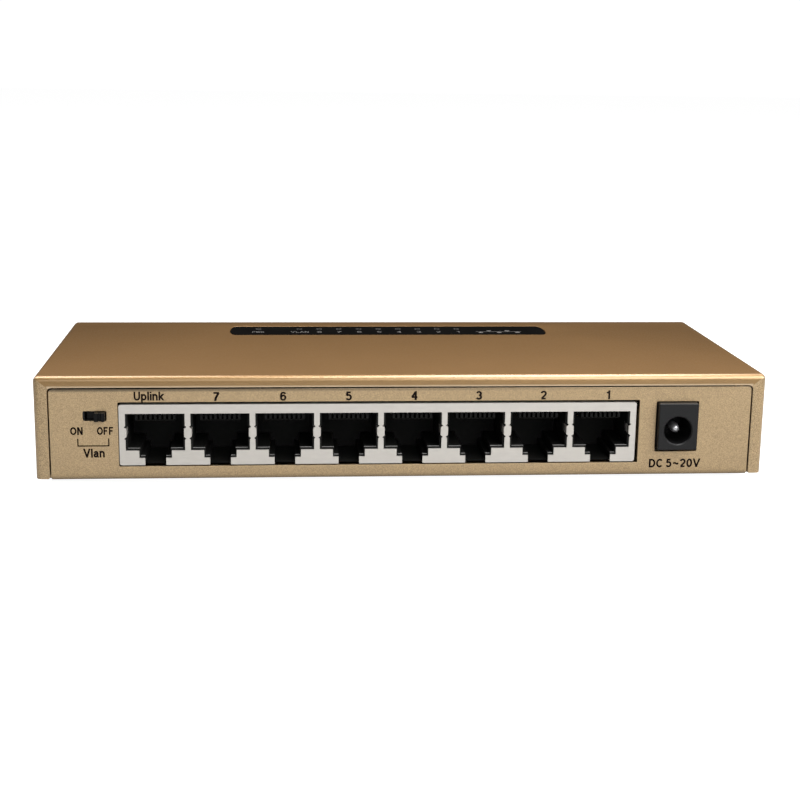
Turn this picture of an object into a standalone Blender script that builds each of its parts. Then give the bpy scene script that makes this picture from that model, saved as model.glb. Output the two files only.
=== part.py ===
"""An eight-port desktop network switch in a folded steel case, with every piece its own object.

Lengths are metres. Everything hangs from the empty "case_frame": there x runs along the port face,
y from the port face into the case and z up from the case's underside. The board is mounted upside
down under the top, so its connectors are below it and its lamps shine up through the window.
"""

import math

import bmesh
import bpy

# Case
CASE_WIDTH = 0.1603
CASE_DEPTH = 0.068
CASE_HEIGHT = 0.023
SHEET = 0.0008
FOLD = 0.0012  # outer radius of every fold in the case
FOLD_STEPS = 4
FLANGE_SIDE = 0.0030
FLANGE_TOP = 0.0025
FRAME_CORNER = 0.0010
SEAM = 0.0003  # between the cover and the tray
COVER_LOW = 0.0003
FLANGE_CORNER = 0.0004
LIP_HEIGHT = 0.0080
LIP_START = 0.0020  # how far behind the port face the side lips begin
CUT = 0.003  # how far a cutter runs past what it cuts

# Feet, vents, wall slots
FOOT_RADIUS = 0.0050
FOOT_HEIGHT = 0.0020
FOOT_EDGE = 0.0005
FOOT_X = 0.064
FOOT_YS = (0.014, 0.054)
FIT_GAP = 0.00005
VENT_COUNT = 11
VENT_PITCH = 0.0038
VENT_WIDTH = 0.0016
VENT_LOW = 0.0100
VENT_HIGH = 0.0185
WALL_SLOT_X = 0.040
WALL_SLOT_Y = 0.034
WALL_SLOT_HEAD = 0.0036
WALL_SLOT_NECK = 0.0019
WALL_SLOT_LENGTH = 0.0075

# Window in the top, with its lamps
WINDOW_LENGTH = 0.0798
WINDOW_WIDTH = 0.0122
WINDOW_Y = 0.0546
WINDOW_BOW = 0.0016  # how far its rounded ends stand out
WINDOW_GAP = 0.00015
WINDOW_SUNK = 0.00005
WINDOW_RIM = 0.0016
WINDOW_RIM_THICK = 0.0008
LAMP_PITCH = 0.0050
LAMP_XS = [-0.0328, -0.0225] + [-0.0175 + LAMP_PITCH * i for i in range(8)]
LAMP_Y = 0.0556
LAMP_BORE = 0.0012
LAMP_SIZE = (0.0016, 0.0008, 0.0007)
GUIDE_MARGIN = 0.0026

# Board
BOARD_LOW = 0.01705
BOARD_THICK = 0.0016
BOARD_X = 0.0753
BOARD_YS = (0.0025, 0.0605)
BOARD_CORNER = 0.0010
POST_X = 0.072
POST_YS = (0.012, 0.056)
POST_FLATS = 0.0050
SPIGOT_RADIUS = 0.0021
SPIGOT_GAP = 0.00015
SOLDER_GAP = 0.0001

# Screws (M3)
SHANK_RADIUS = 0.0014
BORE_RADIUS = 0.0016
BORE_SIDES = 16
POST_BORE_DEPTH = 0.0085
SCREW_TIP = 0.0004
SCREW_RECESS = 0.0004  # half width of the cross
COVER_SCREW_YS = (0.012, 0.056)
COVER_SCREW_Z = 0.0050
COVER_SCREW_HEAD = (0.0026, 0.0013)  # radius, height
COVER_SCREW_LENGTH = 0.0045
BOARD_SCREW_HEAD = (0.0027, 0.0017)
BOARD_SCREW_LENGTH = 0.0080

# Row of modular jacks
PORT_COUNT = 8
PORT_PITCH = 0.01397
ROW_X = -0.00552
PORT_XS = [ROW_X + PORT_PITCH * (i - (PORT_COUNT - 1) / 2) for i in range(PORT_COUNT)]
SHIELD_HALF_WIDTH = 0.0566
SHIELD_LOW = 0.0033
SHIELD_HIGH = 0.01675
SHIELD_DEPTH = 0.0173
SHIELD_SHEET = 0.0003
SHIELD_CORNER = 0.0004
OPENING_HALF = 0.00637
OPENING_TOP = 0.01475
OPENING_LEDGE = 0.00655
STEP_HALF = 0.0035
STEP_LEDGE = 0.00488
LATCH_HALF = 0.00225
LATCH_SLOT_DEPTH = 0.0020  # the slot runs out through the shield's lower edge
NOTCH_DROPS = (0.0030, 0.00555)  # below the opening's top
NOTCH_SIZE = 0.00032
TAB_INSET = 0.0001
TAB_LENGTH = 0.0032
HOUSING_INSET = 0.0004  # inside the shield's outer faces
CAVITY_HALF = 0.00595
CAVITY_TOP = 0.0146
CAVITY_LEDGE = 0.0070
CAVITY_STEP_HALF = 0.00325
CAVITY_STEP = 0.0053
CAVITY_LATCH_HALF = 0.0022
CAVITY_FLOOR = 0.0038
CAVITY_DEPTH = 0.0135
CONTACT_COUNT = 8
CONTACT_PITCH = 0.00102
CONTACT_THICK = 0.00035
CONTACT_PATH = [(0.0020, 0.01345), (0.0092, 0.01150), (0.0097, 0.01148), (0.0102, 0.01165)]
CARRIER_HALF = 0.0047
CARRIER_YS = (0.0012, 0.0125)
CARRIER_LOW = 0.01375
NOSE_BACK = 0.0030
NOSE_LOW = 0.01305

# Cutouts in the port panel: x low, x high, z low, z high
JACK_CUTOUT = (-0.0623, 0.0518, 0.0030, 0.0173)
POWER_CUTOUT = (0.05560, 0.06515, 0.0055, 0.01695)
SLIDE_CUTOUT = (-0.06975, -0.06470, 0.0132, 0.0154)
CUTOUT_CORNER = 0.0003

# Parts under the board: places are (x, y), sizes (x, y, z)
PACKAGE_EDGE = 0.0002  # bevel round a moulded package
PACKAGE_LIFT = 0.0001  # from a package to the plane its leads lie in
LEAD_OVERLAP = 0.0003  # how far a lead runs into its package
CHIP_PLACE = (-0.004, 0.042)
CHIP_SIZE = (0.020, 0.014, 0.0014)
CHIP_LEADS = (12, 8)  # on each long side, on each short side
CHIP_LEAD_SHARE = 0.9  # of a side, taken up by its leads
CHIP_LEAD = (0.0003, 0.0012, 0.0007)  # width, reach, height
SINK_SIZE = 0.014
SINK_FINS = 6
SINK_BASE = 0.0015
SINK_HEIGHT = 0.0060
TRANSFORMER_Y = 0.0250
TRANSFORMER_SIZE = (0.0124, 0.0070, 0.0052)
TRANSFORMER_LEADS = 4
TRANSFORMER_LEAD_PITCH = 0.0033
TRANSFORMER_LEAD = (0.0004, 0.0012, 0.0010)
FLASH_PLACE = (-0.028, 0.042)
FLASH_SIZE = (0.0050, 0.0040, 0.0015)
FLASH_LEADS = 4
FLASH_LEAD_PITCH = 0.00127
FLASH_LEAD = (0.0004, 0.0010, 0.0008)
CRYSTAL_PLACE = (0.018, 0.042)
CRYSTAL_HALF = 0.0055
CRYSTAL_RADIUS = 0.0023
CRYSTAL_HEIGHT = 0.0034
INDUCTOR_PLACE = (0.050, 0.030)
INDUCTOR_HALF = 0.0035
INDUCTOR_HEIGHT = 0.0035
INDUCTOR_CORNER = 0.0009
CAPACITORS = {  # radius, height, place
    "input_capacitor": (0.00315, 0.0077, (0.062, 0.026)),
    "output_capacitor": (0.0025, 0.0070, (0.040, 0.046)),
}
CAPACITOR_GROOVE = 0.0002
CAPACITOR_GROOVE_AT = (0.0010, 0.0016)

# Power inlet for a 5.5 mm barrel plug
INLET_X = 0.0603
INLET_HALF = 0.0044
INLET_LOW = 0.0062
INLET_HIGH = 0.01675
INLET_PROUD = 0.0016
INLET_COLLAR = 0.0022
INLET_DEPTH = 0.0126
INLET_AXIS_Z = 0.0106
INLET_BORE = 0.0031
INLET_BORE_END = 0.0086
INLET_CHAMFER = 0.00025
INLET_EDGE = 0.00015
INLET_STEP = 0.0003  # from the collar in to the rest of the housing
INLET_PIN = 0.0010
INLET_PIN_TIP = 0.0002
INLET_PIN_END = 0.0139
INLET_TAIL_HALF = 0.0008
INLET_TAIL_YS = (0.0135, 0.0138)
SPRING_THICK = 0.0003
SPRING_HALF = 0.0007
SPRING_END = 0.0131
SPRING_PATH = [(0.0034, 0.01355), (0.0054, 0.01330), (0.0076, 0.01405), (0.0130, 0.01405)]
SPRING_GROOVE = (-0.0009, 0.0009, 0.0026, 0.0156, 0.0131, 0.0146)

# Slide switch
SWITCH_X = (SLIDE_CUTOUT[0] + SLIDE_CUTOUT[1]) / 2
SWITCH_HALF = 0.0048
SWITCH_FACE = 0.00105
SWITCH_SHEET = 0.0003
KNOB_X = -0.06605
KNOB_WIDTH = 0.0023
KNOB_LOW = 0.01335
KNOB_HIGH = 0.01525
KNOB_PROUD = 0.0015
KNOB_RIDGE = 0.0008
KNOB_GROOVE = 0.0004
SHOE_HALF = 0.0030
SHOE_ZS = (-0.0013, 0.0015)  # from the knob's middle
SHOE_BACK = 0.0027
SWITCH_LOW = 0.01235
SWITCH_HIGH = 0.01655
SWITCH_LEG = 0.0010
SWITCH_TOP_PLATE_END = 0.0039
SWITCH_LOW_PLATE_END = 0.0054
SWITCH_WINDOW = (-0.00228, 0.00240, 0.01325, 0.01535)  # x from the switch's middle, z
SWITCH_BASE_YS = (0.0041, 0.0052)
SWITCH_BASE_GAP = 0.0006
SWITCH_PIN_XS = (-0.0023, 0, 0.0023)
SWITCH_PIN_HALF = 0.0003
SWITCH_PIN_YS = (0.0045, 0.0048)
SWITCH_PIN_LOW = 0.01455
BOW_PATH = [(-0.0022, 0.0034), (-0.0011, 0.0030), (0.0011, 0.0030), (0.0022, 0.0034)]
BOW_THICK = 0.0002
BOW_HALF = 0.0007

PORT_FACE_Y = -(CASE_DEPTH - INLET_PROUD) / 2
BOARD_PLANE = BOARD_LOW - SOLDER_GAP  # where the parts under the board stop


# ---------------------------------------------------------------- outlines


def arc(x, y, radius, start, end, steps):
    """Points on an arc, angles in degrees."""
    angles = [math.radians(start + (end - start) * i / steps) for i in range(steps + 1)]
    return [(x + radius * math.cos(a), y + radius * math.sin(a)) for a in angles]


def circle(x, y, radius, sides):
    return arc(x, y, radius, 0, 360 - 360 / sides, sides - 1)


def rectangle(x0, x1, y0, y1):
    return [(x0, y0), (x1, y0), (x1, y1), (x0, y1)]


def rounded(x0, x1, y0, y1, radius, steps=3):
    return (
        arc(x1 - radius, y0 + radius, radius, -90, 0, steps)
        + arc(x1 - radius, y1 - radius, radius, 0, 90, steps)
        + arc(x0 + radius, y1 - radius, radius, 90, 180, steps)
        + arc(x0 + radius, y0 + radius, radius, 180, 270, steps)
    )


def stadium(x0, x1, y, radius, steps=12):
    """A slot along x with round ends."""
    right = arc(x1 - radius, y, radius, -90, 90, steps)
    return right + arc(x0 + radius, y, radius, 90, 270, steps)


def bowed_slot(x0, x1, y, half_width, bow, steps=12):
    """A slot along x whose ends are shallow half ellipses."""
    turns = [math.pi * (i / steps - 0.5) for i in range(steps + 1)]
    end = [(x1 - bow + bow * math.cos(t), half_width * math.sin(t)) for t in turns]
    return [(x, y + v) for x, v in end] + [(x0 + x1 - x, y - v) for x, v in end]


def keyhole(x, y, head, neck, length):
    """A round hole with a narrower slot that runs from it along +y."""
    opening = math.degrees(math.asin(neck / head))
    around = arc(x, y, head, 90 + opening, 450 - opening, 20)
    return around + arc(x, y + length, neck, 0, 180, 8)


def mirrored(half, x):
    """Closes an outline from its right half, which runs from the top down, about a vertical line."""
    left = [(x - u, v) for u, v in reversed(half)]
    return [(x + u, v) for u, v in half] + left


def ribbon(path, thickness):
    """The outline of a strip of even thickness whose middle follows a path."""
    sides = ([], [])
    for i, (u, v) in enumerate(path):
        before = path[max(i - 1, 0)]
        after = path[min(i + 1, len(path) - 1)]
        du = after[0] - before[0]
        dv = after[1] - before[1]
        scale = thickness / 2 / math.hypot(du, dv)
        sides[0].append((u - dv * scale, v + du * scale))
        sides[1].append((u + dv * scale, v - du * scale))
    return sides[0] + sides[1][::-1]


# ---------------------------------------------------------------- solids


def prism(bm, outline, low, high, axis="Z"):
    """Adds an outline pushed along an axis. The outline is (y, z), (x, z) or (x, y)."""
    place = {
        "X": lambda u, v, w: (w, u, v),
        "Y": lambda u, v, w: (u, w, v),
        "Z": lambda u, v, w: (u, v, w),
    }[axis]
    ends = [[bm.verts.new(place(u, v, w)) for u, v in outline] for w in (low, high)]
    for end in ends:
        bm.faces.new(end)
    for i in range(len(outline)):
        j = (i + 1) % len(outline)
        bm.faces.new((ends[0][i], ends[0][j], ends[1][j], ends[1][i]))


def block(bm, x0, x1, y0, y1, z0, z1):
    prism(bm, rectangle(x0, x1, y0, y1), z0, z1)


def turned(bm, profile, sides=24, axis="Z"):
    """Adds a solid of revolution from (radius, height) points that start and end on the axis."""
    place = {
        "X": lambda r, c, s, h: (h, r * c, r * s),
        "Y": lambda r, c, s, h: (r * c, h, r * s),
        "Z": lambda r, c, s, h: (r * c, r * s, h),
    }[axis]
    turns = [2 * math.pi * i / sides for i in range(sides)]
    rings = []
    for radius, height in profile:
        around = turns if radius else turns[:1]
        rings.append([bm.verts.new(place(radius, math.cos(t), math.sin(t), height)) for t in around])
    for low, high in zip(rings, rings[1:]):
        for i in range(sides):
            j = (i + 1) % sides
            corners = (low[i % len(low)], low[j % len(low)], high[j % len(high)], high[i % len(high)])
            bm.faces.new(list(dict.fromkeys(corners)))


def moved(bm, x=0.0, y=0.0, z=0.0):
    bmesh.ops.translate(bm, verts=bm.verts, vec=(x, y, z))
    return bm


def folded_box(x, y0, y1, z0, z1, radius, open_end):
    """A box with rounded upright edges and a rounded ring of edges away from its open end."""
    bm = bmesh.new()
    block(bm, -x, x, y0, y1, z0, z1)
    bm.edges.ensure_lookup_table()
    kept = z0 if open_end == "low" else z1
    soft = [e for e in bm.edges if not all(abs(v.co.z - kept) < radius / 10 for v in e.verts)]
    bmesh.ops.bevel(bm, geom=soft, offset=radius, segments=FOLD_STEPS, profile=0.5, affect="EDGES")
    return bm


# ---------------------------------------------------------------- objects

for old in list(bpy.data.objects):
    bpy.data.objects.remove(old)

case_frame = bpy.data.objects.new("case_frame", None)
case_frame.location = (0, PORT_FACE_Y, FOOT_HEIGHT)
bpy.context.scene.collection.objects.link(case_frame)


def material(name, colour, roughness, metallic=0.0):
    made = bpy.data.materials.new(name)
    made.use_nodes = True
    shader = made.node_tree.nodes["Principled BSDF"]
    shader.inputs["Base Color"].default_value = (*colour, 1)
    shader.inputs["Roughness"].default_value = roughness
    shader.inputs["Metallic"].default_value = metallic
    made.diffuse_color = (*colour, 1)
    return made


GOLD_PAINT = material("gold_paint", (0.42, 0.30, 0.17), 0.40, 0.6)
GLOSS_BLACK = material("gloss_black", (0.01, 0.01, 0.012), 0.12)
BLACK_MOULDING = material("black_moulding", (0.015, 0.015, 0.016), 0.45)
RUBBER = material("rubber", (0.02, 0.02, 0.02), 0.85)
STEEL = material("steel", (0.55, 0.55, 0.56), 0.30, 1.0)
TINPLATE = material("tinplate", (0.62, 0.60, 0.58), 0.38, 0.9)
CONTACT_GOLD = material("contact_gold", (0.83, 0.62, 0.26), 0.25, 1.0)
BOARD_GREEN = material("board_green", (0.02, 0.16, 0.06), 0.45)
CHIP_BLACK = material("chip_black", (0.02, 0.02, 0.022), 0.55)
FERRITE = material("ferrite", (0.05, 0.05, 0.055), 0.70)
ALUMINIUM = material("aluminium", (0.75, 0.76, 0.77), 0.35, 1.0)
LAMP_LENS = material("lamp_lens", (0.80, 0.85, 0.78), 0.20)


def add(name, bm, made_of, location=(0, 0, 0), parent=case_frame):
    """Makes a named object from a bmesh, placed in its parent's frame."""
    bmesh.ops.recalc_face_normals(bm, faces=bm.faces)
    mesh = bpy.data.meshes.new(name)
    bm.to_mesh(mesh)
    bm.free()
    mesh.materials.append(made_of)
    mesh.shade_smooth()
    mesh.set_sharp_from_angle(angle=math.radians(35))
    obj = bpy.data.objects.new(name, mesh)
    obj.location = location
    obj.parent = parent
    bpy.context.scene.collection.objects.link(obj)
    return obj


def combine(obj, bm, operation="DIFFERENCE"):
    """Cuts a shape out of an object, or joins it on. The shape is in the object's own frame."""
    tool = add(f"{obj.name}_tool_{len(obj.modifiers)}", bm, obj.data.materials[0], parent=obj)
    tool.hide_render = True
    tool.display_type = "WIRE"
    modifier = obj.modifiers.new(operation.lower(), "BOOLEAN")
    modifier.operation = operation
    modifier.object = tool


def baked(obj):
    """The object's mesh with its modifiers applied, for copies to share."""
    graph = bpy.context.evaluated_depsgraph_get()
    mesh = bpy.data.meshes.new_from_object(obj.evaluated_get(graph))
    for tool in list(obj.children):
        bpy.data.objects.remove(tool)
    bpy.data.objects.remove(obj)
    return mesh


def copies(mesh, name, places, turns=None):
    """Named objects that share a mesh, numbered from 1."""
    for i, place in enumerate(places):
        obj = bpy.data.objects.new(f"{name}_{i + 1}", mesh)
        obj.location = place
        obj.parent = case_frame
        if turns:
            obj.rotation_euler = turns[i]
        bpy.context.scene.collection.objects.link(obj)


def corner_places(x, ys, z):
    return [(side * x, y, z) for y in ys for side in (-1, 1)]


# ---------------------------------------------------------------- case


def make_cover():
    half = CASE_WIDTH / 2
    shell = folded_box(half, 0, CASE_DEPTH, COVER_LOW, CASE_HEIGHT, FOLD, "low")
    cover = add("top_cover", shell, GOLD_PAINT)
    inner = folded_box(
        half - SHEET, SHEET, CASE_DEPTH - SHEET, -CUT, CASE_HEIGHT - SHEET, FOLD - SHEET, "low"
    )
    combine(cover, inner)

    holes = bmesh.new()
    edge = half - FLANGE_SIDE
    top = CASE_HEIGHT - FLANGE_TOP
    r = FRAME_CORNER
    foot = FLANGE_CORNER
    frame = [(edge + foot, -CUT)] + arc(edge + foot, COVER_LOW + foot, foot, 270, 180, 3)
    frame += arc(edge - r, top - r, r, 0, 90, 5)
    prism(holes, frame + [(-u, v) for u, v in reversed(frame)], -CUT, FOLD, "Y")
    prism(
        holes,
        bowed_slot(
            -WINDOW_LENGTH / 2, WINDOW_LENGTH / 2, WINDOW_Y, WINDOW_WIDTH / 2, WINDOW_BOW
        ),
        CASE_HEIGHT - FOLD,
        CASE_HEIGHT + CUT,
    )
    vent_middle = CASE_DEPTH / 2
    for side in (-1, 1):
        reach = sorted((side * (half - FOLD), side * (half + CUT)))
        for i in range(VENT_COUNT):
            y = vent_middle + VENT_PITCH * (i - (VENT_COUNT - 1) / 2)
            vent = stadium(VENT_LOW, VENT_HIGH, y, VENT_WIDTH / 2, 4)
            prism(holes, [(v, u) for u, v in vent], *reach, "X")
        for y in COVER_SCREW_YS:
            prism(holes, circle(y, COVER_SCREW_Z, BORE_RADIUS, BORE_SIDES), *reach, "X")
    combine(cover, holes)

    corners = bmesh.new()
    outer = [(half + CUT, -CUT), (half + CUT, COVER_LOW + foot)]
    outer += arc(half - foot, COVER_LOW + foot, foot, 0, -90, 3) + [(half - foot, -CUT)]
    prism(corners, outer, -CUT, FOLD, "Y")
    prism(corners, [(-u, v) for u, v in outer], -CUT, FOLD, "Y")
    combine(cover, corners)


def make_tray():
    gap = SHEET + SEAM
    half = CASE_WIDTH / 2 - gap
    back = CASE_DEPTH - gap
    panel_half = CASE_WIDTH / 2 - FLANGE_SIDE - SEAM
    panel_top = CASE_HEIGHT - FLANGE_TOP - SEAM
    tray = add("base_tray", folded_box(half, 0, back, 0, CASE_HEIGHT, FOLD, "high"), GOLD_PAINT)
    inner = folded_box(
        half - SHEET, SHEET, back - SHEET, SHEET, CASE_HEIGHT + CUT, FOLD - SHEET, "high"
    )
    combine(tray, inner)

    above_lips = bmesh.new()
    block(above_lips, -CASE_WIDTH, CASE_WIDTH, FOLD, CASE_DEPTH, LIP_HEIGHT, CASE_HEIGHT + CUT)
    combine(tray, above_lips)

    outside = CASE_WIDTH
    r = FRAME_CORNER - SEAM
    around_panel = [(-outside, -CUT), (-panel_half, -CUT)]
    around_panel += arc(r - panel_half, panel_top - r, r, 180, 90, 4)
    around_panel += arc(panel_half - r, panel_top - r, r, 90, 0, 4)
    around_panel += [(panel_half, -CUT), (outside, -CUT)]
    around_panel += [(outside, CASE_HEIGHT + CUT), (-outside, CASE_HEIGHT + CUT)]
    front = bmesh.new()
    prism(front, around_panel, -CUT, LIP_START, "Y")
    combine(tray, front)

    holes = bmesh.new()
    for cutout in (JACK_CUTOUT, POWER_CUTOUT, SLIDE_CUTOUT):
        prism(holes, rounded(*cutout, CUTOUT_CORNER), -CUT, FOLD, "Y")
    relief = 2 * FOLD
    for side in (-1, 1):
        xs = sorted((side * (half - relief), side * outside))
        block(holes, *xs, back - relief, CASE_DEPTH + CUT, -CUT, CASE_HEIGHT + CUT)
        wall = sorted((side * (half - 2 * SHEET), side * (half + CUT)))
        for y in COVER_SCREW_YS:
            prism(holes, circle(y, COVER_SCREW_Z, BORE_RADIUS, BORE_SIDES), *wall, "X")
        for y in POST_YS:
            spigot_hole = circle(side * POST_X, y, SPIGOT_RADIUS + SPIGOT_GAP, BORE_SIDES)
            prism(holes, spigot_hole, -CUT, FOLD)
        slot = keyhole(
            side * WALL_SLOT_X, WALL_SLOT_Y, WALL_SLOT_HEAD, WALL_SLOT_NECK, WALL_SLOT_LENGTH
        )
        prism(holes, slot, -CUT, FOLD)
    combine(tray, holes)


def make_feet():
    profile = [(0, -FOOT_HEIGHT), (FOOT_RADIUS - FOOT_EDGE, -FOOT_HEIGHT)]
    profile += [(FOOT_RADIUS, -FOOT_HEIGHT + FOOT_EDGE), (FOOT_RADIUS, -FIT_GAP), (0, -FIT_GAP)]
    bm = bmesh.new()
    turned(bm, profile, 28)
    copies(baked(add("foot", bm, RUBBER)), "rubber_foot", corner_places(FOOT_X, FOOT_YS, 0))


def screw_mesh(head, length):
    """A pan-head screw with a cross recess. Its head sits on z = 0 and its shank runs down."""
    radius, height = head
    profile = [(0, -length), (SHANK_RADIUS - SCREW_TIP, -length), (SHANK_RADIUS, SCREW_TIP - length)]
    profile += [(SHANK_RADIUS, 0), (radius, 0), (radius, height * 0.45)]
    profile += [(radius * 0.80, height), (0, height)]
    bm = bmesh.new()
    turned(bm, profile, BORE_SIDES)
    screw = add("screw", bm, STEEL)
    arm = radius * 0.58
    wide = SCREW_RECESS
    cross = [(wide, wide), (wide, arm), (-wide, arm), (-wide, wide), (-arm, wide), (-arm, -wide)]
    cross += [(-u, -v) for u, v in cross]
    recess = bmesh.new()
    prism(recess, cross, height * 0.35, height + CUT)
    combine(screw, recess)
    return baked(screw)


def make_cover_screws():
    places = corner_places(CASE_WIDTH / 2 + FIT_GAP, COVER_SCREW_YS, COVER_SCREW_Z)
    turns = [(0, math.radians(90 if x > 0 else -90), 0) for x, _, _ in places]
    copies(screw_mesh(COVER_SCREW_HEAD, COVER_SCREW_LENGTH), "cover_screw", places, turns)


# ---------------------------------------------------------------- window and lamps


def make_window():
    bm = bmesh.new()
    half = WINDOW_LENGTH / 2 - WINDOW_GAP
    wide = WINDOW_WIDTH / 2 - WINDOW_GAP
    bow = WINDOW_BOW - WINDOW_GAP
    under = CASE_HEIGHT - SHEET - FIT_GAP
    plug = bowed_slot(-half, half, WINDOW_Y, wide, bow)
    prism(bm, plug, under - WINDOW_RIM_THICK / 2, CASE_HEIGHT - WINDOW_SUNK)
    window = add("indicator_window", bm, GLOSS_BLACK)
    rim = bmesh.new()
    half += WINDOW_RIM
    outline = bowed_slot(-half, half, WINDOW_Y, wide + WINDOW_RIM, bow + WINDOW_RIM)
    prism(rim, outline, under - WINDOW_RIM_THICK, under)
    combine(window, rim, "UNION")


def make_lamps():
    top = BOARD_LOW + BOARD_THICK
    guide_top = CASE_HEIGHT - SHEET - 2 * FIT_GAP - WINDOW_RIM_THICK
    bm = bmesh.new()
    block(
        bm,
        LAMP_XS[0] - GUIDE_MARGIN,
        LAMP_XS[-1] + GUIDE_MARGIN,
        LAMP_Y - GUIDE_MARGIN,
        LAMP_Y + GUIDE_MARGIN,
        top + SOLDER_GAP,
        guide_top - FIT_GAP,
    )
    guide = add("light_guide", bm, BLACK_MOULDING)
    bores = bmesh.new()
    for x in LAMP_XS:
        prism(bores, circle(x, LAMP_Y, LAMP_BORE, 10), top - CUT, guide_top + CUT)
    combine(guide, bores)

    dx, dy, dz = LAMP_SIZE
    bm = bmesh.new()
    block(bm, -dx / 2, dx / 2, -dy / 2, dy / 2, 0, dz)
    lamp = baked(add("lamp", bm, LAMP_LENS))
    copies(lamp, "led", [(x, LAMP_Y, top + SOLDER_GAP) for x in LAMP_XS])


# ---------------------------------------------------------------- board


def make_board():
    bm = bmesh.new()
    outline = rounded(-BOARD_X, BOARD_X, *BOARD_YS, BOARD_CORNER)
    prism(bm, outline, BOARD_LOW, BOARD_LOW + BOARD_THICK)
    board = add("circuit_board", bm, BOARD_GREEN)
    holes = bmesh.new()
    top = BOARD_LOW + BOARD_THICK
    for x, y, _ in corner_places(POST_X, POST_YS, 0):
        prism(holes, circle(x, y, BORE_RADIUS, BORE_SIDES), BOARD_LOW - CUT, top + CUT)
    combine(board, holes)

    screws = corner_places(POST_X, POST_YS, top + FIT_GAP)
    copies(screw_mesh(BOARD_SCREW_HEAD, BOARD_SCREW_LENGTH), "board_screw", screws)


def make_standoffs():
    foot = SHEET + FIT_GAP
    top = BOARD_LOW - FIT_GAP
    bm = bmesh.new()
    prism(bm, circle(0, 0, POST_FLATS / math.sqrt(3), 6), foot, top)
    post = add("post", bm, STEEL)
    spigot = bmesh.new()
    prism(spigot, circle(0, 0, SPIGOT_RADIUS, BORE_SIDES), FIT_GAP, 3 * foot)
    combine(post, spigot, "UNION")
    bore = bmesh.new()
    radius = SHANK_RADIUS + FIT_GAP
    prism(bore, circle(0, 0, radius, BORE_SIDES), top - POST_BORE_DEPTH, top + CUT)
    combine(post, bore)
    copies(baked(post), "board_standoff", corner_places(POST_X, POST_YS, 0))


# ---------------------------------------------------------------- row of jacks


def opening_outline(x):
    """The stepped opening in the shield, with two small notches in each upright edge.

    Its latch slot runs out through the shield's lower edge.
    """
    edge = OPENING_HALF
    half = [(edge, OPENING_TOP)]
    first, second = [OPENING_TOP - drop for drop in NOTCH_DROPS]
    half += [(edge, first + NOTCH_SIZE), (edge + NOTCH_SIZE, first)]
    half += [(edge - TAB_INSET, first - NOTCH_SIZE), (edge - TAB_INSET, second + NOTCH_SIZE)]
    half += [(edge + NOTCH_SIZE, second), (edge, second - NOTCH_SIZE)]
    half += [(edge, OPENING_LEDGE), (STEP_HALF, OPENING_LEDGE), (STEP_HALF, STEP_LEDGE)]
    half += [(LATCH_HALF, STEP_LEDGE), (LATCH_HALF, SHIELD_LOW - CUT)]
    return mirrored(half, x)


def cavity_outline(x):
    half = [(CAVITY_HALF, CAVITY_TOP), (CAVITY_HALF, CAVITY_LEDGE)]
    half += [(CAVITY_STEP_HALF, CAVITY_LEDGE), (CAVITY_STEP_HALF, CAVITY_STEP)]
    half += [(CAVITY_LATCH_HALF, CAVITY_STEP), (CAVITY_LATCH_HALF, CAVITY_FLOOR)]
    return mirrored(half, x)


def tab_levels(margin):
    """The heights between which a grounding tab is folded in from an opening's edge."""
    first, second = [OPENING_TOP - drop for drop in NOTCH_DROPS]
    return second + NOTCH_SIZE - margin, first - NOTCH_SIZE + margin


def make_shield():
    s = SHIELD_SHEET
    w = SHIELD_HALF_WIDTH
    bm = bmesh.new()
    block(bm, ROW_X - w, ROW_X + w, 0, SHIELD_DEPTH, SHIELD_LOW, SHIELD_HIGH)
    bm.edges.ensure_lookup_table()
    long_edges = [e for e in bm.edges if abs(e.verts[0].co.y - e.verts[1].co.y) > s]
    bmesh.ops.bevel(bm, geom=long_edges, offset=SHIELD_CORNER, segments=2, profile=0.5, affect="EDGES")
    shield = add("jack_shield", bm, TINPLATE)
    inner = bmesh.new()
    block(
        inner, ROW_X - w + s, ROW_X + w - s, s, SHIELD_DEPTH + CUT, SHIELD_LOW + s, SHIELD_HIGH - s
    )
    combine(shield, inner)
    openings = bmesh.new()
    for x in PORT_XS:
        prism(openings, opening_outline(x), -CUT, 2 * s, "Y")
    combine(shield, openings)
    slots = bmesh.new()
    for x in PORT_XS:
        block(slots, x - LATCH_HALF, x + LATCH_HALF, s, LATCH_SLOT_DEPTH, 0, SHIELD_LOW + 2 * s)
    combine(shield, slots)
    tabs = bmesh.new()
    low, high = tab_levels(-FIT_GAP)
    for x in PORT_XS:
        for side in (-1, 1):
            near = OPENING_HALF - 2 * TAB_INSET
            xs = sorted((x + side * near, x + side * (near + 0.8 * s)))
            block(tabs, *xs, s / 3, TAB_LENGTH, low, high)
    combine(shield, tabs, "UNION")


def make_housing():
    inset = HOUSING_INSET
    w = SHIELD_HALF_WIDTH - inset
    floor = SHIELD_LOW + SHIELD_SHEET + FIT_GAP
    bm = bmesh.new()
    block(bm, ROW_X - w, ROW_X + w, inset, SHIELD_DEPTH - inset, floor, SHIELD_HIGH - inset)
    housing = add("jack_housing", bm, BLACK_MOULDING)
    cavities = bmesh.new()
    for x in PORT_XS:
        prism(cavities, cavity_outline(x), -CUT, CAVITY_DEPTH, "Y")
    combine(housing, cavities)
    pockets = bmesh.new()
    margin = 0.0003
    low, high = tab_levels(margin)
    for x in PORT_XS:
        for side in (-1, 1):
            xs = sorted((x + side * (CAVITY_HALF - margin), x + side * (OPENING_HALF + margin)))
            block(pockets, *xs, -CUT, TAB_LENGTH + margin, low, high)
    combine(housing, pockets)


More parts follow.
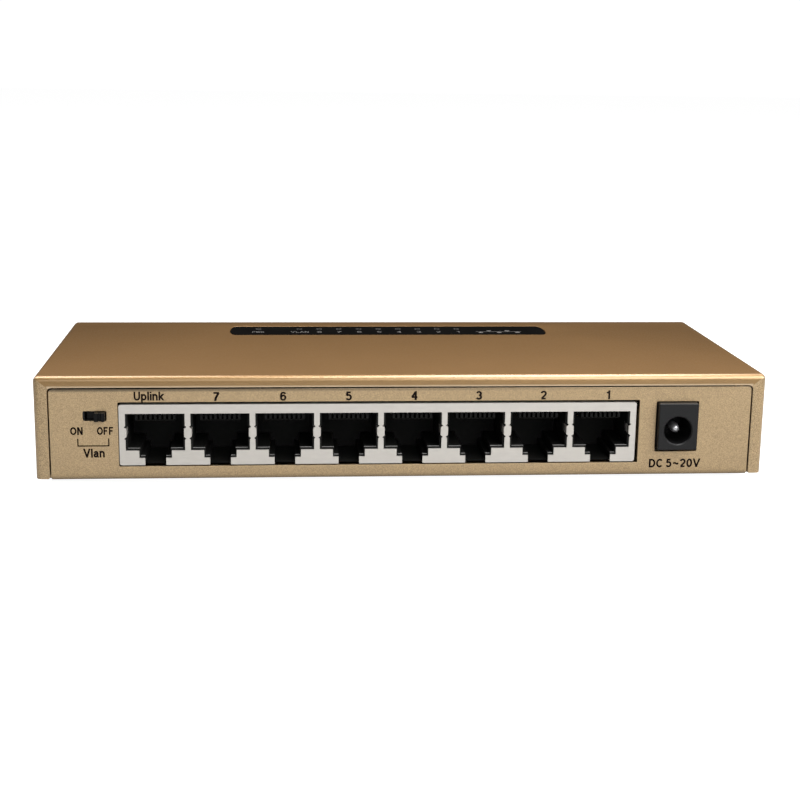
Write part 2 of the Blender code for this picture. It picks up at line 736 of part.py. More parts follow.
def make_contact_inserts():
    """Each carries eight spring wires that slope back and down from its nose into the cavity."""
    top = CAVITY_TOP - SOLDER_GAP
    front, back = CARRIER_YS
    bm = bmesh.new()
    profile = [(front, NOSE_LOW), (NOSE_BACK, NOSE_LOW), (NOSE_BACK, CARRIER_LOW)]
    profile += [(back, CARRIER_LOW), (back, top), (front, top)]
    prism(bm, profile, -CARRIER_HALF, CARRIER_HALF, "X")
    insert = add("insert", bm, BLACK_MOULDING)
    wires = bmesh.new()
    half = CONTACT_THICK / 2
    for i in range(CONTACT_COUNT):
        x = CONTACT_PITCH * (i - (CONTACT_COUNT - 1) / 2)
        prism(wires, ribbon(CONTACT_PATH, CONTACT_THICK), x - half, x + half, "X")
    combine(insert, wires, "UNION")
    copies(baked(insert), "contact_insert", [(x, 0, 0) for x in PORT_XS])


# ---------------------------------------------------------------- parts on the board


def leaded(name, size, lead, rows, location=(0, 0, 0)):
    """A moulded package under the board. Each row of leads is (count, pitch, runs along x)."""
    width, reach, height = lead
    bm = bmesh.new()
    half = [d / 2 for d in size]
    block(bm, -half[0], half[0], -half[1], half[1], -size[2], 0)
    bmesh.ops.bevel(bm, geom=bm.edges[:], offset=PACKAGE_EDGE, segments=1, affect="EDGES")
    package = add(name, moved(bm, z=-PACKAGE_LIFT), CHIP_BLACK, location)
    leads = bmesh.new()
    for count, pitch, along_x in rows:
        edge = half[1] if along_x else half[0]
        for i in range(count):
            u = pitch * (i - (count - 1) / 2)
            for side in (-1, 1):
                spans = [(u - width / 2, u + width / 2)]
                spans.append(sorted((side * (edge - LEAD_OVERLAP), side * (edge + reach))))
                if not along_x:
                    spans.reverse()
                block(leads, *spans[0], *spans[1], -height, 0)
    combine(package, leads, "UNION")
    return package


def make_switch_chip():
    place = (*CHIP_PLACE, BOARD_PLANE)
    rows = []
    for i in (0, 1):
        pitch = CHIP_SIZE[i] * CHIP_LEAD_SHARE / (CHIP_LEADS[i] - 1)
        rows.append((CHIP_LEADS[i], pitch, i == 0))
    leaded("switch_chip", CHIP_SIZE, CHIP_LEAD, rows, place)

    half = SINK_SIZE / 2
    pitch = SINK_SIZE / (SINK_FINS - 0.5)
    outline = [(-half, 0)]
    for i in range(SINK_FINS):
        left = pitch * i - half
        outline += [(left, -SINK_HEIGHT), (left + pitch / 2, -SINK_HEIGHT)]
        if i < SINK_FINS - 1:
            outline += [(left + pitch / 2, -SINK_BASE), (left + pitch, -SINK_BASE)]
    outline += [(half, 0)]
    bm = bmesh.new()
    prism(bm, outline, -half, half, "Y")
    under_chip = BOARD_PLANE - CHIP_SIZE[2] - 2 * SOLDER_GAP
    add("chip_heatsink", bm, ALUMINIUM, (*CHIP_PLACE, under_chip))


def make_transformers():
    rows = [(TRANSFORMER_LEADS, TRANSFORMER_LEAD_PITCH, True)]
    body = leaded("transformer", TRANSFORMER_SIZE, TRANSFORMER_LEAD, rows)
    middles = [(PORT_XS[i] + PORT_XS[i + 1]) / 2 for i in range(0, PORT_COUNT, 2)]
    places = [(x, TRANSFORMER_Y, BOARD_PLANE) for x in middles]
    copies(baked(body), "transformer", places)


def make_small_parts():
    rows = [(FLASH_LEADS, FLASH_LEAD_PITCH, True)]
    leaded("flash_chip", FLASH_SIZE, FLASH_LEAD, rows, (*FLASH_PLACE, BOARD_PLANE))

    bm = bmesh.new()
    prism(bm, stadium(-CRYSTAL_HALF, CRYSTAL_HALF, 0, CRYSTAL_RADIUS, 8), -CRYSTAL_HEIGHT, 0)
    add("crystal", bm, STEEL, (*CRYSTAL_PLACE, BOARD_PLANE))

    bm = bmesh.new()
    half = INDUCTOR_HALF
    prism(bm, rounded(-half, half, -half, half, INDUCTOR_CORNER, 1), -INDUCTOR_HEIGHT, 0)
    lowest = [e for e in bm.edges if all(v.co.z < -INDUCTOR_HEIGHT / 2 for v in e.verts)]
    bmesh.ops.bevel(bm, geom=lowest, offset=PACKAGE_EDGE, segments=1, affect="EDGES")
    add("power_inductor", bm, FERRITE, (*INDUCTOR_PLACE, BOARD_PLANE))

    groove = CAPACITOR_GROOVE
    upper, lower = CAPACITOR_GROOVE_AT
    for name, (radius, height, place) in CAPACITORS.items():
        profile = [(0, -height), (radius - 2 * groove, -height), (radius, -height + 2 * groove)]
        profile += [(radius, -lower), (radius - groove, -(lower + upper) / 2), (radius, -upper)]
        profile += [(radius, 0), (0, 0)]
        bm = bmesh.new()
        turned(bm, profile, 20)
        add(name, bm, ALUMINIUM, (*place, BOARD_PLANE))


# ---------------------------------------------------------------- power inlet


def make_inlet():
    half = INLET_HALF
    bm = bmesh.new()
    block(bm, -half, half, -INLET_PROUD, INLET_COLLAR, INLET_LOW, INLET_HIGH)
    bmesh.ops.bevel(bm, geom=bm.edges[:], offset=INLET_EDGE, segments=1, affect="EDGES")
    housing = add("dc_jack_housing", bm, BLACK_MOULDING, (INLET_X, 0, 0))
    rear = bmesh.new()
    low = INLET_LOW + INLET_STEP
    high = INLET_HIGH - SOLDER_GAP
    half -= INLET_STEP
    block(rear, -half, half, INLET_COLLAR / 2, INLET_DEPTH, low, high)
    combine(housing, rear, "UNION")

    bore = bmesh.new()
    pin_hole = INLET_PIN + 2 * FIT_GAP
    face = -INLET_PROUD
    mouth = INLET_BORE + CUT + INLET_CHAMFER
    profile = [(0, face - CUT), (mouth, face - CUT), (INLET_BORE, face + INLET_CHAMFER)]
    profile += [(INLET_BORE, INLET_BORE_END), (pin_hole, INLET_BORE_END)]
    profile += [(pin_hole, INLET_DEPTH + CUT), (0, INLET_DEPTH + CUT)]
    turned(bore, profile, 32, "Y")
    combine(housing, moved(bore, z=INLET_AXIS_Z))
    groove = bmesh.new()
    block(groove, *SPRING_GROOVE)
    combine(housing, groove)

    r = INLET_PIN
    tip = INLET_PIN_TIP
    profile = [(0, tip), (r * 0.5, tip + r * 0.13), (r * 0.87, tip + r * 0.5), (r, tip + r)]
    profile += [(r, INLET_PIN_END), (0, INLET_PIN_END)]
    bm = bmesh.new()
    turned(bm, profile, 20, "Y")
    pin = add("dc_jack_pin", bm, STEEL, (INLET_X, 0, INLET_AXIS_Z))
    tail = bmesh.new()
    half = INLET_TAIL_HALF
    block(tail, -half, half, *INLET_TAIL_YS, 0, BOARD_PLANE - INLET_AXIS_Z)
    combine(pin, tail, "UNION")

    path = SPRING_PATH + [(SPRING_END, SPRING_PATH[-1][1] + SPRING_THICK / 2)]
    path.append((SPRING_END, BOARD_PLANE))
    bm = bmesh.new()
    prism(bm, ribbon(path, SPRING_THICK), -SPRING_HALF, SPRING_HALF, "X")
    add("dc_jack_contact", bm, STEEL, (INLET_X, 0, 0))


# ---------------------------------------------------------------- slide switch


def make_switch_frame():
    s = SWITCH_SHEET
    half = SWITCH_HALF
    low, high = SWITCH_LOW, SWITCH_HIGH
    foot = half - SWITCH_LEG
    outline = [(-half, low), (half, low), (half, BOARD_PLANE), (foot, BOARD_PLANE), (foot, high)]
    outline += [(-foot, high), (-foot, BOARD_PLANE), (-half, BOARD_PLANE)]
    bm = bmesh.new()
    prism(bm, outline, SWITCH_FACE, SWITCH_FACE + s, "Y")
    frame = add("vlan_switch_frame", bm, STEEL, (SWITCH_X, 0, 0))
    plates = bmesh.new()
    start = SWITCH_FACE + s / 2
    half -= s
    block(plates, -half, half, start, SWITCH_TOP_PLATE_END, high - 1.5 * s, high - s / 2)
    block(plates, -half, half, start, SWITCH_LOW_PLATE_END, low + s / 2, low + 1.5 * s)
    combine(frame, plates, "UNION")
    left, right, bottom, top = SWITCH_WINDOW
    window = bmesh.new()
    block(window, left, right, SWITCH_FACE - CUT, SWITCH_FACE + 2 * s, bottom, top)
    combine(frame, window)


def make_switch_base():
    half = SWITCH_HALF - SWITCH_SHEET
    gap = SWITCH_BASE_GAP
    bm = bmesh.new()
    block(bm, -half, half, *SWITCH_BASE_YS, SWITCH_LOW + gap, SWITCH_HIGH - gap)
    base = add("vlan_switch_base", bm, BLACK_MOULDING, (SWITCH_X, 0, 0))
    pins = bmesh.new()
    half = SWITCH_PIN_HALF
    for x in SWITCH_PIN_XS:
        block(pins, x - half, x + half, *SWITCH_PIN_YS, SWITCH_PIN_LOW, BOARD_PLANE)
    combine(base, pins, "UNION")


def make_slider():
    """The knob stands out of the port face. Its shoe slides behind the frame with the bowed contact."""
    wide = KNOB_WIDTH / 2
    ridge = wide - KNOB_RIDGE
    face = -KNOB_PROUD
    bed = face + KNOB_GROOVE
    front = SWITCH_FACE + 1.5 * SWITCH_SHEET
    back = front + SWITCH_SHEET
    outline = [(-wide, back), (-wide, face), (-ridge, face), (-ridge * 0.6, bed)]
    outline += [(ridge * 0.6, bed), (ridge, face), (wide, face), (wide, back)]
    tall = (KNOB_HIGH - KNOB_LOW) / 2
    bm = bmesh.new()
    prism(bm, outline, -tall, tall)
    place = (KNOB_X, 0, (KNOB_LOW + KNOB_HIGH) / 2)
    slider = add("vlan_slider", bm, BLACK_MOULDING, place)
    shoe = bmesh.new()
    block(shoe, -SHOE_HALF, SHOE_HALF, front, SHOE_BACK, *SHOE_ZS)
    combine(slider, shoe, "UNION")

    bm = bmesh.new()
    prism(bm, ribbon(BOW_PATH, BOW_THICK), -BOW_HALF, BOW_HALF)
    add("vlan_switch_contact", bm, CONTACT_GOLD, parent=slider)


make_cover()
make_tray()
make_feet()
make_cover_screws()
make_window()
make_lamps()
make_board()
make_standoffs()
make_shield()
make_housing()
make_contact_inserts()
make_switch_chip()
make_transformers()
make_small_parts()
make_inlet()
make_switch_frame()
make_switch_base()
make_slider()
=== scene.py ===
"""The looks of an eight-port desktop network switch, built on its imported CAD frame.

Everything is in metres in the frame's own axes: x runs along the port face, which looks towards -y,
and z runs up from the floor. Sizes that no CAD node holds are in millimetres, in the case's frame,
whose origin is the foot of the port face under the middle of the case; at() turns them into metres.
"""

import math

import bmesh
import bpy
from mathutils import Matrix, Vector
from mathutils.geometry import delaunay_2d_cdt

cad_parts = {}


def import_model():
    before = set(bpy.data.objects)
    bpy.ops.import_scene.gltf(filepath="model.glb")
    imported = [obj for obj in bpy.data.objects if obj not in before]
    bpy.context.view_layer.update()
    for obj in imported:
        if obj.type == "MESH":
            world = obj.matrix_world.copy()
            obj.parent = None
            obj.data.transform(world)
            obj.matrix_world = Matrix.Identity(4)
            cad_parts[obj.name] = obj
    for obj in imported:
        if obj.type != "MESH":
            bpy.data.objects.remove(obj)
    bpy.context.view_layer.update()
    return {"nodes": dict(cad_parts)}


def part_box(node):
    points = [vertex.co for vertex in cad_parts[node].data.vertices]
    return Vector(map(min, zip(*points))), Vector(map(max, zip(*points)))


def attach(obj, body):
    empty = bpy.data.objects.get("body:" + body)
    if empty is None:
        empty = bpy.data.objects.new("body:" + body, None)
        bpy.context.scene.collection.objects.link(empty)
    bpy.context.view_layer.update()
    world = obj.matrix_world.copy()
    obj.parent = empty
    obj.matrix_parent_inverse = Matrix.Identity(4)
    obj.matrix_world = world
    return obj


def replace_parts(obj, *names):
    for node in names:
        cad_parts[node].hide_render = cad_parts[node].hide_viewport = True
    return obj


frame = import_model()

NODES = frame["nodes"]
COVER_LOW, COVER_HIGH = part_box("top_cover")
TRAY_LOW, TRAY_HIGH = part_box("base_tray")
WINDOW_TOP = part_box("indicator_window")[1].z
CASE_ORIGIN = Vector((0, COVER_LOW.y, TRAY_LOW.z))
MM = 0.001

CHASSIS = "chassis"
MITRE_SLOPE = 3.0 / 2.5  # side flange's width over the top one's
PORTS = 8


def at(x, y, z):
    """A point given in millimetres in the case's frame."""
    return CASE_ORIGIN + Vector((x, y, z)) * MM


def port_middle(i):
    """The x of a port's middle in millimetres. i counts from 0, from the left."""
    low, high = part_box(f"contact_insert_{i + 1}")
    return (low.x + high.x) / 2 / MM


# ---------------------------------------------------------------- shaders


class Shader:
    """A material with a Principled shader, and short calls for the nodes that feed it."""

    def __init__(self, name):
        self.material = bpy.data.materials.new(name)
        self.material.use_nodes = True
        self.tree = self.material.node_tree
        self.surface = self.tree.nodes["Principled BSDF"]
        self.place = self.node("ShaderNodeTexCoord").outputs["Object"]

    def node(self, kind, inputs=None, **settings):
        made = self.tree.nodes.new(kind)
        for key, value in settings.items():
            setattr(made, key, value)
        for key, value in (inputs or {}).items():
            self.feed(made.inputs[key], value)
        return made

    def feed(self, socket, value):
        if isinstance(value, bpy.types.NodeSocket):
            self.tree.links.new(value, socket)
        elif socket.type == "RGBA":
            socket.default_value = (*value, 1)
        else:
            socket.default_value = value

    def set(self, **values):
        """Sets sockets of the Principled shader, named in lower case with underscores."""
        for key, value in values.items():
            socket = key.replace("_", " ").title().replace("Ior", "IOR")
            self.feed(self.surface.inputs[socket], value)
        return self.material

    def stretched(self, x, y, z):
        inputs = {"Vector": self.place, "Scale": (x, y, z)}
        return self.node("ShaderNodeMapping", inputs).outputs["Vector"]

    def noise(self, scale, detail=2.0, roughness=0.5, place=None):
        inputs = {"Vector": place or self.place, "Scale": scale, "Detail": detail}
        inputs["Roughness"] = roughness
        return self.node("ShaderNodeTexNoise", inputs).outputs["Fac"]

    def ranged(self, value, low, high, to_low=0.0, to_high=1.0):
        inputs = {"Value": value, "From Min": low, "From Max": high}
        inputs |= {"To Min": to_low, "To Max": to_high}
        return self.node("ShaderNodeMapRange", inputs).outputs["Result"]

    def maths(self, operation, *values):
        made = self.node("ShaderNodeMath", dict(enumerate(values)), operation=operation)
        return made.outputs["Value"]

    def mix(self, factor, a, b):
        made = self.node("ShaderNodeMix", {0: factor, 6: a, 7: b}, data_type="RGBA")
        return made.outputs[2]

    def scaled(self, colour, share):
        inputs = {"Vector": colour, "Scale": share}
        return self.node("ShaderNodeVectorMath", inputs, operation="SCALE").outputs["Vector"]

    def axis(self, name):
        return self.node("ShaderNodeSeparateXYZ", {"Vector": self.place}).outputs[name]

    def bump(self, height, distance):
        inputs = {"Height": height, "Distance": distance}
        return self.node("ShaderNodeBump", inputs).outputs["Normal"]

    def tint(self, pigment, grain):
        """Sets a paint's colour, with its flakes and clouds over the pigment."""
        tone = self.maths("ADD", self.maths("MULTIPLY", self.flakes, grain), 1.0)
        self.set(base_color=self.scaled(pigment, self.maths("MULTIPLY", tone, self.clouds)))


def shade(colour, share):
    return tuple(c * share for c in colour)


def metallic_paint(name, colour, grain):
    """Baked metallic paint: fine flakes in the pigment, a sandy skin, faint clouding, a thin coat.

    Returns the shader, so that a part of the case can shade its pigment further.
    """
    s = Shader(name)
    s.flakes = s.ranged(s.noise(5200, 3, 0.65), 0.3, 0.7, -1, 1)
    s.clouds = s.ranged(s.noise(90, 2), 0.3, 0.7, 0.98, 1.02)
    skin = s.noise(3300, 2, 0.6)
    s.set(
        metallic=0.6,
        roughness=s.ranged(skin, 0.3, 0.7, 0.30, 0.40),
        normal=s.bump(skin, 0.00003),
        coat_weight=1.0,
        coat_roughness=0.22,
    )
    s.tint(colour, grain)
    return s


# Where the paint of the port side changes, in metres, for painted shade, shadow and highlight along
# its seams and edges: each pair is where a change starts and where it is complete. Depths are
# behind the front face.
FRONT_DEPTH = (0.0009, 0.0002)
PANEL_DEPTH = (0.0004, 0.0002)
CUT_EDGE_START, CUT_EDGE_END = (0.00008, 0.00020), (0.00085, 0.00080)
MITRE_BLEND = (-0.00008, 0.00008)
# where the painted highlight along the top flange's lower edge starts and ends
HIGHLIGHT_BELOW_TOP, HIGHLIGHT_FROM_SIDE = (0.00205, 0.00230), (0.0028, 0.0032)
RIM_BELOW_TOP, RIM_FROM_SIDE = (0.00240, 0.00246), (0.00290, 0.00296)
# how far below the seam the painted shadow reaches, and where the painted shade on cut edges stops
SHADOW_BELOW_SEAM, CUT_BELOW_SEAM = (0.0007, 0.0002), (0.0175, 0.0170)
SEAM_TIGHTENS = (-0.055, 0.070)
# how much of the painted highlight's colour is mixed in
HIGHLIGHT_SHARE = 0.8
# how dark the painted shadow under the seam is
SEAM_SHADOW_TONE = 0.26


def depth_behind(s, face, start_and_full):
    """0 to 1 between two depths behind a front face."""
    start, full = start_and_full
    return s.ranged(s.axis("Y"), face + start, face + full)


def cut_edge_shade(s, face):
    """1 on the cut edges of the front sheet, behind its face, where they are painted dark as shade.
    """
    behind = depth_behind(s, face, CUT_EDGE_START)
    return s.maths("MULTIPLY", behind, depth_behind(s, face, CUT_EDGE_END))


def cover_paint(name, top_colour, top_grain, side_colour, side_grain):
    """The cover's paint. Its front flanges are separate tabs that meet at mitres in the corners.

    The side tabs take the panel's paler colour and stronger flake grain: painted sheen and sparkle
    of the front lamps. The front of the fold is painted a deeper gold as shade, and a paler band
    along the lower edge of the top flange is a painted highlight.
    """
    s = metallic_paint(name, top_colour, top_grain)
    inward = s.maths("SUBTRACT", COVER_HIGH.x, s.maths("ABSOLUTE", s.axis("X")))
    down = s.maths("SUBTRACT", COVER_HIGH.z, s.axis("Z"))
    mitre = s.maths("SUBTRACT", s.maths("MULTIPLY", down, MITRE_SLOPE), inward)
    front = depth_behind(s, COVER_LOW.y, FRONT_DEPTH)
    side = s.maths("MULTIPLY", s.ranged(mitre, *MITRE_BLEND), front)
    edge = s.ranged(down, *HIGHLIGHT_BELOW_TOP)
    across = s.ranged(inward, *HIGHLIGHT_FROM_SIDE)
    highlight = s.maths("MULTIPLY", s.maths("MULTIPLY", edge, across), front)
    # the front of the cover gets a darker gold than its top: painted shade on the same paint
    pigment = s.mix(front, top_colour, FRONT_SHADED_GOLD)
    # a paler band along the top flange's lower edge: painted highlight
    pigment = s.mix(s.maths("MULTIPLY", highlight, HIGHLIGHT_SHARE), pigment, HIGHLIGHT_GOLD)
    rim = s.maths("MINIMUM", s.ranged(down, *RIM_BELOW_TOP), s.ranged(inward, *RIM_FROM_SIDE))
    # the cover's cut edges inside the seam are painted dark: painted shade
    seam_shade = s.maths("MULTIPLY", rim, cut_edge_shade(s, COVER_LOW.y))
    side_colour = s.mix(seam_shade, side_colour, shade(side_colour, CUT_EDGE_SHADE_TONE))
    pigment = s.mix(seam_shade, pigment, shade(top_colour, CUT_EDGE_SHADE_TONE))
    # the side tabs get a paler colour and stronger grain: painted sheen and sparkle of the front
    # lamps
    s.tint(s.mix(side, pigment, side_colour), s.ranged(side, 0, 1, top_grain, side_grain))
    return s.material


def panel_paint(name, colour, grain):
    """The tray's paint: painted shadow under the seam with the cover, painted shade on cut edges,
    less where the seam closes.
    """
    s = metallic_paint(name, colour, grain)
    below = s.maths("SUBTRACT", TRAY_HIGH.z, s.axis("Z"))
    front = depth_behind(s, TRAY_LOW.y, PANEL_DEPTH)
    open_seam = s.ranged(s.axis("X"), *SEAM_TIGHTENS, 1.0, 0.1)
    # a painted shadow band just under the seam with the cover, fading where the seam closes
    seam_shadow = s.maths("MULTIPLY", s.ranged(below, *SHADOW_BELOW_SEAM), front)
    seam_shadow = s.maths("MULTIPLY", seam_shadow, open_seam)
    # the tray's cut edges near the seam are painted dark too: painted shade
    cut = s.maths("MULTIPLY", cut_edge_shade(s, TRAY_LOW.y), s.ranged(below, *CUT_BELOW_SEAM))
    cut = s.maths("MULTIPLY", cut, open_seam)
    shadowed = s.mix(seam_shadow, colour, shade(colour, SEAM_SHADOW_TONE))
    s.tint(s.mix(cut, shadowed, shade(colour, CUT_EDGE_SHADE_TONE)), grain)
    return s.material


def plated_sheet(name, colour, roughness, brushed=(1, 1, 1)):
    """Bright rolled sheet with a faint grain and a few cloudy smudges."""
    s = Shader(name)
    lines = s.noise(1500, 3, 0.6, s.stretched(*brushed))
    smudge = s.ranged(s.noise(160, 3), 0.35, 0.75)
    tinted = s.mix(s.ranged(lines, 0.3, 0.7), shade(colour, 0.94), shade(colour, 1.03))
    smeared = s.ranged(smudge, 0, 1, roughness, roughness + 0.10)
    rough = s.maths("ADD", smeared, s.ranged(lines, 0.3, 0.7, 0, 0.05))
    return s.set(
        base_color=s.mix(smudge, tinted, shade(colour, 0.93)),
        metallic=0.8,
        roughness=rough,
        normal=s.bump(lines, 0.000006),
    )


def moulding(name, colour, roughness, texture=0.00001, specular=0.3):
    """Moulded plastic with the fine texture of a spark-eroded tool."""
    s = Shader(name)
    skin = s.noise(4200, 2, 0.6)
    clouds = s.ranged(s.noise(220, 2), 0.3, 0.7)
    return s.set(
        base_color=s.mix(clouds, shade(colour, 0.85), shade(colour, 1.15)),
        specular_ior_level=specular,
        roughness=s.ranged(skin, 0.3, 0.7, roughness - 0.05, roughness + 0.05),
        normal=s.bump(skin, texture),
    )


def gloss_panel(name):
    """A polished black acrylic strip, with the faintest haze of handling on it."""
    s = Shader(name)
    haze = s.ranged(s.noise(130, 4, 0.6), 0.4, 0.8)
    return s.set(
        base_color=s.mix(haze, (0.0028, 0.0025, 0.0023), (0.0046, 0.0042, 0.0038)),
        specular_ior_level=0.20,
        roughness=s.ranged(haze, 0, 1, 0.06, 0.13),
        normal=s.bump(s.noise(60, 2), 0.00001),
    )


def circuit_board(name):
    """Green solder mask over copper traces that show as paler lines."""
    s = Shader(name)
    grid = s.node(
        "ShaderNodeTexBrick",
        {"Vector": s.stretched(1, 1, 0), "Scale": 420.0, "Mortar Size": 0.04},
    ).outputs["Fac"]
    traces = s.ranged(s.noise(300, 1), 0.45, 0.55)
    lines = s.maths("MULTIPLY", grid, traces)
    return s.set(
        base_color=s.mix(lines, (0.010, 0.085, 0.035), (0.035, 0.190, 0.070)),
        roughness=s.ranged(traces, 0, 1, 0.30, 0.42),
        normal=s.bump(lines, 0.00002),
    )


def ferrite(name):
    s = Shader(name)
    grit = s.noise(6000, 3, 0.7)
    return s.set(
        base_color=s.mix(s.ranged(grit, 0.3, 0.7), (0.022, 0.022, 0.024), (0.07, 0.07, 0.075)),
        roughness=s.ranged(grit, 0.3, 0.7, 0.55, 0.80),
        normal=s.bump(grit, 0.00003),
    )


def lamp_lens(name):
    s = Shader(name)
    milk = s.ranged(s.noise(2600, 2), 0.3, 0.7)
    return s.set(
        base_color=s.mix(milk, (0.70, 0.76, 0.66), (0.88, 0.92, 0.84)),
        roughness=s.ranged(milk, 0, 1, 0.15, 0.28),
        transmission_weight=0.35,
    )


def ink(name, colour):
    """Screen-printed ink: slightly uneven in tone, with a matt skin."""
    s = Shader(name)
    spots = s.ranged(s.noise(5000, 2), 0.3, 0.7)
    return s.set(
        base_color=s.mix(spots, colour, shade(colour, 1.5)),
        specular_ior_level=0.08,
        roughness=s.ranged(spots, 0, 1, 0.50, 0.62),
        normal=s.bump(spots, 0.000004),
    )


COVER_GOLD = (0.312, 0.172, 0.066)
# the tray shares the cover's paint; its paler gold is a painted sheen of the front lamps
PANEL_LIT_GOLD = (0.414, 0.292, 0.152)
# a darker copy of the cover's gold for its front face: painted shade
FRONT_SHADED_GOLD = (0.276, 0.163, 0.058)
# the cover's side tabs take the panel's paler gold: painted sheen of the front lamps
SIDE_TAB_LIT_GOLD = shade(PANEL_LIT_GOLD, 0.93)
# the colour of the painted highlight along the top flange's lower edge
HIGHLIGHT_GOLD = (0.60, 0.46, 0.30)
# how dark the painted shade on cut edges inside the seams is
CUT_EDGE_SHADE_TONE = 0.12
# real flake grain, made stronger on the front-facing panel and side tabs as painted sparkle of the
# front lamps
COVER_GRAIN, SIDE_TAB_GRAIN_AND_SPARKLE, PANEL_GRAIN_AND_SPARKLE = 0.06, 0.55, 0.34

MATERIALS = {
    "gold_paint": panel_paint("gold_paint_panel", PANEL_LIT_GOLD, PANEL_GRAIN_AND_SPARKLE),
    "gloss_black": gloss_panel("gloss_black_acrylic"),
    "black_moulding": moulding("black_moulded_plastic", (0.0050, 0.0050, 0.0052), 0.45),
    "rubber": moulding("black_rubber", (0.018, 0.018, 0.018), 0.80, 0.00004),
    "steel": plated_sheet("zinc_plated_steel", (0.56, 0.56, 0.57), 0.26),
    "tinplate": plated_sheet("tinned_sheet", (0.62, 0.59, 0.545), 0.40, (0.25, 1, 1)),
    "contact_gold": plated_sheet("gold_plated_wire", (0.80, 0.56, 0.23), 0.22),
    "board_green": circuit_board("green_board"),
    "chip_black": moulding("black_epoxy", (0.016, 0.016, 0.018), 0.52, 0.00002),
    "ferrite": ferrite("ferrite_grey"),
    "aluminium": plated_sheet("drawn_aluminium", (0.72, 0.73, 0.74), 0.32, (1, 1, 0.2)),
    "lamp_lens": lamp_lens("milky_epoxy"),
}
COVER_PAINT = cover_paint(
    "gold_paint_cover", COVER_GOLD, COVER_GRAIN, SIDE_TAB_LIT_GOLD, SIDE_TAB_GRAIN_AND_SPARKLE
)
JACK_MOULDING = moulding("black_jack_moulding", (0.0045, 0.0045, 0.0041), 0.50, specular=0.15)
# grey moulding for the jacks' ledge lips: a painted highlight on black plastic
JACK_LIP_HIGHLIGHT = moulding("grey_jack_lip_highlight", (0.15, 0.147, 0.143), 0.35)
KNOB_MOULDING = moulding("black_knob_moulding", (0.0022, 0.0022, 0.0022), 0.34, specular=0.16)
# the switch frame's plated steel is made nearly black: painted shade, as it sits in shadow behind
# the slot
SHADED_SWITCH_STEEL = plated_sheet("shaded_switch_steel", (0.05, 0.05, 0.05), 0.30)
PANEL_INK = ink("dark_brown_ink", (0.0040, 0.0014, 0.0007))
WINDOW_INK = ink("grey_ink", (0.055, 0.052, 0.050))
PICTOGRAM_INK = ink("light_grey_ink", (0.075, 0.070, 0.066))


# ---------------------------------------------------------------- CAD nodes

WELD_DISTANCE = 1e-6
SMOOTH_BELOW, FLAT_WITHIN, SHARP_ABOVE = (math.radians(angle) for angle in (32, 0.3, 35))


def weld_and_smooth():
    """Modifier nodes that join a CAD mesh's split vertices and smooth it below a sharp angle."""
    group = bpy.data.node_groups.new("weld_and_smooth", "GeometryNodeTree")
    for side in ("INPUT", "OUTPUT"):
        group.interface.new_socket("Geometry", in_out=side, socket_type="NodeSocketGeometry")
    nodes = group.nodes
    start = nodes.new("NodeGroupInput")
    weld = nodes.new("GeometryNodeMergeByDistance")
    weld.inputs["Distance"].default_value = WELD_DISTANCE
    angle = nodes.new("GeometryNodeInputMeshEdgeAngle")
    is_sharp = nodes.new("FunctionNodeCompare")
    is_sharp.operation = "GREATER_THAN"
    is_sharp.inputs["B"].default_value = SMOOTH_BELOW
    sharpen = nodes.new("GeometryNodeSetShadeSmooth")
    sharpen.domain = "EDGE"
    sharpen.inputs["Shade Smooth"].default_value = False
    smooth = nodes.new("GeometryNodeSetShadeSmooth")
    smooth.inputs["Shade Smooth"].default_value = True
    end = nodes.new("NodeGroupOutput")
    for source, target in (
        (start.outputs["Geometry"], weld.inputs["Geometry"]),
        (weld.outputs["Geometry"], sharpen.inputs["Geometry"]),
        (angle.outputs["Unsigned Angle"], is_sharp.inputs["A"]),
        (is_sharp.outputs["Result"], sharpen.inputs["Selection"]),
        (sharpen.outputs["Geometry"], smooth.inputs["Geometry"]),
        (smooth.outputs["Geometry"], end.inputs["Geometry"]),
    ):
        group.links.new(source, target)
    return group


WELD_AND_SMOOTH = weld_and_smooth()
EDGE_RADII = {  # millimetres, for the nodes whose edges show
    "top_cover": 0.09,
    "base_tray": 0.05,
    "jack_housing": 0.15,
    "indicator_window": 0.05,
    "vlan_slider": 0.12,
    "vlan_switch_frame": 0.05,
}


def dress_node(name, obj):
    """Gives a CAD node its material, smooth folds and softly rounded edges."""
    material = MATERIALS[obj.material_slots[0].material.name.split(".")[0]]
    material = {
        "top_cover": COVER_PAINT,
        "jack_housing": JACK_MOULDING,
        "vlan_switch_frame": SHADED_SWITCH_STEEL,
        "vlan_slider": KNOB_MOULDING,
    }.get(name, material)
    obj.material_slots[0].material = material
    old_normals = obj.data.attributes.get("custom_normal")
    if old_normals:
        obj.data.attributes.remove(old_normals)
    obj.modifiers.new("weld_and_smooth", "NODES").node_group = WELD_AND_SMOOTH
    if name in EDGE_RADII:
        planes = obj.modifiers.new("planes", "DECIMATE")
        planes.decimate_type = "DISSOLVE"
        planes.angle_limit = FLAT_WITHIN
        if name != "base_tray":
            obj.modifiers.new("faces", "TRIANGULATE")
        edges = obj.modifiers.new("edges", "BEVEL")
        edges.width = EDGE_RADII[name] * MM
        edges.segments = 2
        edges.limit_method = "ANGLE"
        edges.angle_limit = SHARP_ABOVE
        edges.use_clamp_overlap = False
        edges.harden_normals = True


for node_name, node in NODES.items():
    dress_node(node_name, node)


# ---------------------------------------------------------------- making pieces


